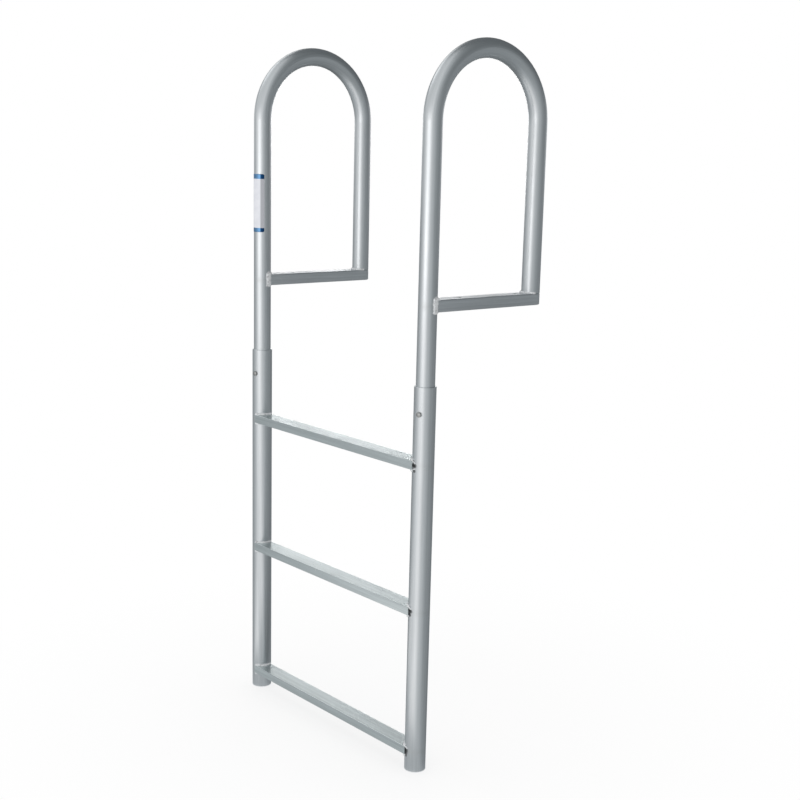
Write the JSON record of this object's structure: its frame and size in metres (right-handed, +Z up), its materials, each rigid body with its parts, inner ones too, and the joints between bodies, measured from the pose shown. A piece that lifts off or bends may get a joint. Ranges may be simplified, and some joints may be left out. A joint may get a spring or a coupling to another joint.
{
  "type": "dock ladder",
  "caption": "Welded tube dock ladder: ribbed treads between two legs, telescoping hoop handles and flat bars that bolt down on the deck.",
  "frame": {"origin": "centre of the right deck bar's underside, on the deck plane", "axes": "+Z up, +Y from the legs in over the deck, +X to the right of a climber who faces the deck"},
  "size_m": [0.6176, 0.3243, 1.4794],
  "materials": {
    "leg_tube": "satin",
    "handle_tube": "satin",
    "deck_bar": "mill",
    "tread": "mill, ribbed",
    "weld": "as welded",
    "screw": "stainless"
  },
  "bodies": {
    "root": {"right_leg": "leg_tube", "right_handle": "handle_tube", "right_deck_bar": "deck_bar", "right_handle_screw": "screw", "right_bar_weld": "weld", "right_post_weld": "weld", "left_leg": "leg_tube", "left_handle": "handle_tube", "left_deck_bar": "deck_bar", "left_handle_screw": "screw", "left_bar_weld": "weld", "left_post_weld": "weld", "tread_top": "tread", "right_top_tread_weld": "weld", "left_top_tread_weld": "weld", "tread_middle": "tread", "right_middle_tread_weld": "weld", "left_middle_tread_weld": "weld", "tread_bottom": "tread", "right_bottom_tread_weld": "weld", "left_bottom_tread_weld": "weld"}
  },
  "joints": []
}
